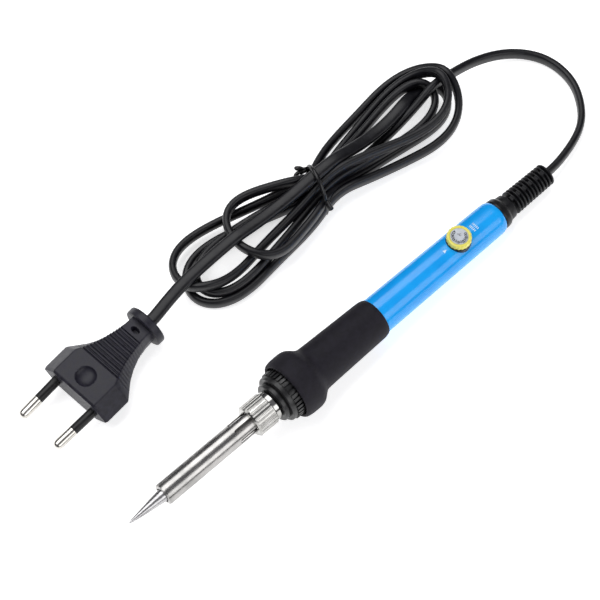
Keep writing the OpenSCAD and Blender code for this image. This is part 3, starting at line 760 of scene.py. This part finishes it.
# %% Make the pins and their covers
pin_len, pin_r, core_r, cover_end, mount_at = 19, 2.0, 1.5, 10, 13.7
pin_profile = soften(
    [(-3, 0.01), (-3, core_r), (cover_end - 0.1, core_r), (cover_end - 0.1, pin_r),
     (pin_len - 1.2, pin_r), (pin_len - 0.1, 1.2), (pin_len, 0.01)],
    [0, 0, 0, 0.15, 1.2, 0.8, 0])
cover_profile = soften([(-1, core_r), (-1, 1.9), (cover_end, 1.9), (cover_end, 1.45)], [0, 0, 0.2, 0])
pin_shapes, cover_shapes = [], []
for pin in pins:
    pin_axis = Vector(pin["axis"])
    foot = Vector(pin["pos_m"]) - pin_axis * mount_at * MM
    PIN = board(foot, pin_axis, plug_above.cross(pin_axis).normalized(), plug_above)
    for shapes, profile in ((pin_shapes, pin_profile), (cover_shapes, cover_profile)):
        points, faces = lathe(profile, 40)
        shapes.append(([PIN @ Vector(p) for p in points], faces))
plug_pins = piece("plug_pins_turned", merge(*pin_shapes), pin_nickel, "handle", ("plug_pins",))
plug_covers = piece(
    "plug_pin_covers", merge(*cover_shapes), pin_cover, "handle", ("pin_sleeves",))

# %% [markdown]
# ## The tip
# The tip is a long cone on a plain shank, of iron-plated copper. It slips over the heater rod.
# A real one is turned on a lathe, and so is this one.

# %% Turn the tip
shank_end = span("soldering_tip")[1]
shank_r, bore_r = girth("soldering_tip"), 2.1
tip_profile = soften(
    [(0, 0.01), (0.15, 0.35), (0.9, 0.55), (6, 1.35), (mouth + 0.6, 2.65), (mouth + 1.6, shank_r),
     (shank_end, shank_r), (shank_end, bore_r), (mouth + 4.3, bore_r), (mouth + 3.6, 0.01)],
    [0, 0.2, 0.4, 3, 0.4, 0.3, 0.3, 0.3, 0.2, 0])
piece("cone_tip", lathe(tip_profile), tip_plate, "tip", ("soldering_tip",), IRON)

# %% [markdown]
# ## The grip
# The grip is one soft moulding pushed over the handle's front: a wide guard that keeps fingers from
# the hot end, a waist behind it, and a long sleeve that thins slightly to the rear.
# It is round everywhere, so a profile with every edge softened gives it its shape.

# %% Turn the grip
grip_front, grip_end = span("grip_sleeve")
guard_r = girth("grip_sleeve")
sleeve_r, handle_r, inner_r, mouth_r = 9.0, 7.45, 7.2, 10.6
guard_side = [
    (grip_front + 4, mouth_r), (grip_front, mouth_r), (grip_front, guard_r - 1.0),
    (grip_front + 0.8, guard_r - 0.35), (grip_front + 3, guard_r - 0.05), (grip_front + 6.8, guard_r),
    (grip_front + 8.8, guard_r - 0.4), (grip_front + 10.4, guard_r - 1.6)]
sleeve_side = [
    (grip_front + 11.6, sleeve_r + 0.9), (grip_front + 13, sleeve_r + 0.15), (grip_front + 16, sleeve_r),
    (grip_end - 16, sleeve_r - 0.35), (grip_end - 2, sleeve_r - 0.7), (grip_end - 0.7, sleeve_r - 1.0),
    (grip_end - 0.05, handle_r + 0.3), (grip_end - 0.05, inner_r), (grip_front + 4, inner_r)]
grip_cuts = [0.2, 0.4, 0.8, 0.8, 1.2, 1.5, 1.2, 0.8, 0.8, 1, 2, 4, 1, 0.6, 0.3, 0, 0]
grip_profile = soften(guard_side + sleeve_side, grip_cuts, closed=True)
grip_shape = lathe(grip_profile, 128, loop=True)
piece("soft_grip", grip_shape, grip_foam, "handle", ("grip_sleeve",), IRON)

# %% [markdown]
# ## The handle
# The handle is a glossy moulded tube that the grip and the end cap close. The dial's seat covers the hole
# in its top, so no hole is cut here: the tube stays a clean turned shape with unbroken highlights.
# A small white arrow ahead of the dial and a two-line mark behind it are printed on it,
# drawn here as patches that lie a hair above the surface.

# %% Turn the handle
shell_front, shell_end = span("handle_shell")
rear_r, shell_inner_r = 6.9, 5.8
handle_profile = soften(
    [(shell_front, shell_inner_r), (shell_front, inner_r), (grip_end, inner_r), (grip_end, handle_r),
     (shell_end - 8, rear_r + 0.08), (shell_end - 2.2, rear_r), (shell_end - 1.1, rear_r - 0.2),
     (shell_end - 0.35, rear_r - 0.55), (shell_end, rear_r - 0.95), (shell_end, shell_inner_r)],
    [0.1, 0.3, 0.05, 0.15, 3, 0.8, 0.5, 0.4, 0.2, 0.1], closed=True)
handle_shape = lathe(handle_profile, 160, loop=True)
piece("handle_tube", handle_shape, handle_blue, "handle", ("handle_shell",), IRON)
dial_m = (Vector(joints["dial_turn"]["pos_m"]) - nose).dot(back) / MM
print("dial centre", round(dial_m, 2), "mm back from the point")


# %% Print the handle
def on_handle(m, y, lift=0.03):
    """A point of the drawing board wrapped onto the handle's top: m back, y across."""
    slope = (rear_r + 0.08 - handle_r) / (shell_end - 8 - grip_end)
    r = handle_r + slope * (m - grip_end) + lift
    return (m, r * math.sin(y / r), r * math.cos(y / r))


def patch(start, stop, start_sides, stop_sides, parts=8):
    """A printed patch between two stations, with its low and high side at each."""
    rows = []
    for i in range(parts + 1):
        t = i / parts
        low_side, high_side = (start_sides[k] + (stop_sides[k] - start_sides[k]) * t for k in (0, 1))
        steps = [low_side + (high_side - low_side) * j / parts for j in range(parts + 1)]
        rows.append([on_handle(start + (stop - start) * t, y) for y in steps])
    n = parts + 1
    points = [p for row in rows for p in row]
    corners = [i * n + j for i in range(parts) for j in range(parts)]
    faces = [(c, c + 1, c + n + 1, c + n) for c in corners]
    return points, faces


prints = [patch(dial_m - 7.9, dial_m - 6.5, (-0.7, 0.7), (-0.05, 0.05))]
for row_at in (7.0, 8.5):
    for y, wide in ((-1.5, 0.3), (-0.85, 0.4), (-0.1, 0.3), (0.55, 0.4), (1.25, 0.25)):
        bar = (y, y + wide)
        prints.append(patch(dial_m + row_at, dial_m + row_at + 0.95, bar, bar))
piece("handle_print", merge(*prints), ink_white, "handle", (), IRON)

# %% [markdown]
# ## The dial
# The dial is a yellow scalloped rim round a printed grey disc. Its numbers run round the disc from 200 to 450,
# with a small degree sign in the middle, all raised a hair as screen-print ink is.
# The rim is a skin over rings whose radius dips once for each scallop.

# %% Shape the dial
DIAL = board(nose + back * dial_m * MM, back, side, up)
dial_points = [DIAL.inverted() @ p for p in places("dial_knob")]
knob_bottom, knob_top = min(p.z for p in dial_points), max(p.z for p in dial_points)
knob_r = max(math.hypot(p.x, p.y) for p in dial_points) - 0.3
face_r = knob_r - 1.4
scallops, scallop_depth, scallop_fade = 20, 0.18, 0.9
print("dial", round(knob_bottom, 2), round(knob_top, 2), "radius", round(knob_r, 2))
rim_steps = [
    (0.25, knob_bottom), (0.0, knob_bottom + 0.25), (0.0, knob_top - 0.75), (0.08, knob_top - 0.35),
    (0.3, knob_top - 0.08), (0.6, knob_top), (1.0, knob_top), (1.27, knob_top - 0.12), (1.37, knob_top - 0.45)]


def circle(radius, z, sides, depth=0):
    """A ring of points at a height; its radius dips by depth once for each scallop."""
    ring = []
    for k in range(sides):
        a = 2 * math.pi * k / sides
        r = radius - depth * (0.5 + 0.5 * math.cos(scallops * a)) ** 1.5
        ring.append((r * math.cos(a), r * math.sin(a), z))
    return ring


rim_rings = []
for inward, z in rim_steps:
    depth = scallop_depth * max(0, 1 - inward / scallop_fade)
    rim_rings.append(circle(knob_r - inward, z, 240, depth))
piece("dial_rim", skin(rim_rings), dial_yellow, "dial", ("dial_knob",), DIAL)
disc_steps = [
    (face_r, knob_top - 0.6), (face_r, knob_top - 0.16), (face_r - 0.08, knob_top - 0.1),
    (face_r - 0.3, knob_top - 0.08), (0.05, knob_top - 0.08)]
disc_rings = [circle(r, z, 96) for r, z in disc_steps]
piece("dial_disc", skin(disc_rings), dial_grey, "dial", ("dial_face",), DIAL)


# %% Print the dial's numbers
def lettering(words, size, angle, radius, turn):
    """Words as a flat mesh, standing at an angle and radius on the dial."""
    text = bpy.data.curves.new("mark", "FONT")
    text.body = words
    text.size = size
    text.align_x = text.align_y = "CENTER"
    text.offset = 0.04
    holder = bpy.data.objects.new("mark", text)
    bpy.context.collection.objects.link(holder)
    bpy.context.view_layer.update()
    mesh = bpy.data.meshes.new_from_object(holder.evaluated_get(bpy.context.evaluated_depsgraph_get()))
    spot = Vector((radius * math.cos(angle), radius * math.sin(angle), knob_top - 0.05))
    place = Matrix.Translation(spot) @ Matrix.Rotation(turn, 4, "Z")
    shape = ([place @ v.co for v in mesh.vertices], [tuple(p.vertices) for p in mesh.polygons])
    bpy.data.objects.remove(holder)
    bpy.data.curves.remove(text)
    bpy.data.meshes.remove(mesh)
    return shape


view_up = math.atan2(away.y, away.x) + math.pi
first_turn, turn_between = 80, 44
mark_shapes = []
for i, number in enumerate((200, 250, 300, 350, 400, 450)):
    angle = view_up - math.radians(first_turn + turn_between * i)
    mark_shapes.append(lettering(str(number), 1.6, angle, face_r - 0.9, angle + math.pi / 2))
mark_shapes.append(lettering("°C", 1.3, view_up, 0.5, view_up - math.pi / 2))
piece("dial_numbers", merge(*mark_shapes), ink_dark, "dial", (), DIAL)

# %% [markdown]
# ## The strain relief
# The flexible boot is cast in one piece with thin rings round a core. Bars join each ring to the next,
# a quarter turn on each time, so that the boot bends evenly whichever way the cord is pulled.
# Each ring is turned on the lathe, and the bars are small blocks between them.

# %% Build the boot's core and root
boot_end = span("strain_relief")[1]
cap_end = span("rear_cap")[1]
root_r, root_len, core_outer = 5.2, 3.1, 3.0
root = soften(
    [(cap_end - 3, 3.7), (cap_end, 3.7), (cap_end, root_r + 0.1), (cap_end + root_len, root_r - 0.15),
     (cap_end + root_len, 3.2)],
    [0, 0, 0.3, 0.5, 0])
boot_core = [(cap_end + 2, core_outer + 0.15), (boot_end - 1.0, core_outer), (boot_end, 2.7)]
boot_shapes = [lathe(root, 72), lathe(soften(boot_core, [0, 0.5, 0]), 48)]

# %% Add its rings and bars
ring_count = 12
pitch = (boot_end - cap_end - 4) / ring_count
thick = pitch * 0.46
for k in range(ring_count + 1):
    at = cap_end + root_len + k * pitch
    wide = root_r - 0.25 - 0.35 * k / ring_count
    if k > 0:
        rib = [(at, core_outer), (at, wide), (at + thick, wide), (at + thick, core_outer)]
        boot_shapes.append(lathe(soften(rib, [0, 0.35, 0.35, 0]), 72))
    if k == ring_count:
        break
    foot = at + thick * 0.8
    bar = [(foot, -1.0, 2.6), (foot, 1.0, 2.6), (foot, 0.9, wide - 0.35), (foot, -0.9, wide - 0.35)]
    points, faces = skin([bar, [(x + pitch * 0.7, y, z) for x, y, z in bar]])
    for turn in (0, math.pi):
        spin = Matrix.Rotation(turn + (k % 2) * math.pi / 2, 4, "X")
        boot_shapes.append(([spin @ Vector(p) for p in points], faces))
boot_shape = merge(*boot_shapes)
piece("ribbed_boot", boot_shape, boot_vinyl, "handle", ("strain_relief",), IRON, crease=50)

# %% [markdown]
# ## Floor and light
# A white painted table and two large soft boxes leave almost no shadow. The floor glows a little of its own,
# which keeps it white without lamps so strong that they would burn out the metal.
# The sky is mid grey overhead and darker near the horizon, which draws the dark streaks along polished metal.

# %% Lay the white table
floor_mat = fresh("floor_paint_white")
floor_place = add(floor_mat, "TexCoord").outputs["Object"]
floor_noise = add(floor_mat, "TexNoise", {"Vector": floor_place, "Scale": 40.0, "Detail": 3.0})
floor_stops = [(0.0, "#f7f7f7"), (1.0, "#fafafa")]
floor_colour = add(floor_mat, "ValToRGB", {"Fac": floor_noise.outputs["Fac"]}, floor_stops)
floor_shader = add(floor_mat, "BsdfPrincipled", {
    "Base Color": floor_colour.outputs["Color"], "Roughness": 0.9, "Specular IOR Level": 0.1,
    "Emission Color": linear("#ffffff"), "Emission Strength": 0.62})
add(floor_mat, "OutputMaterial", {"Surface": floor_shader.outputs["BSDF"]})
floor_mesh = bpy.data.meshes.new("floor")
floor_mesh.from_pydata([(-4, -4, 0), (4, -4, 0), (4, 4, 0), (-4, 4, 0)], [], [(0, 1, 2, 3)])
floor_mesh.materials.append(floor_mat)
floor = bpy.data.objects.new("floor", floor_mesh)
floor.location.z = -0.0002
bpy.context.collection.objects.link(floor)

# %% Light the sky
world = bpy.data.worlds.new("studio")
bpy.context.scene.world = world
world.use_nodes = True
world.node_tree.nodes.clear()
direction = add(world, "TexCoord").outputs["Generated"]
height_of = add(world, "SeparateXYZ", {"Vector": direction})
sky_stops = [(0.0, "#38383a"), (0.3, "#56565a"), (0.8, "#7c7c80")]
sky = add(world, "ValToRGB", {"Fac": height_of.outputs["Z"]}, sky_stops)
background = add(world, "Background", {"Color": sky.outputs["Color"], "Strength": 1.0})
add(world, "OutputWorld", {"Surface": background.outputs["Background"]})


# %% Hang the two soft boxes
def soft_light(name, place, width, depth, watts):
    """A large soft box that faces the iron."""
    lamp = bpy.data.lights.new(name, "AREA")
    lamp.shape = "RECTANGLE"
    lamp.size = width
    lamp.size_y = depth
    lamp.energy = watts
    made = bpy.data.objects.new(name, lamp)
    made.location = place
    made.rotation_mode = "QUATERNION"
    made.rotation_quaternion = (aim - Vector(place)).to_track_quat("-Z", "Y")
    bpy.context.collection.objects.link(made)
    print(name, watts, "W")


soft_light("overhead", (-0.1, 0.75, 1.5), 2.2, 1.3, 25)
soft_light("front_box", (0.1, -1.4, 0.9), 2.0, 1.0, 14)
bpy.context.scene.view_settings.view_transform = "Standard"
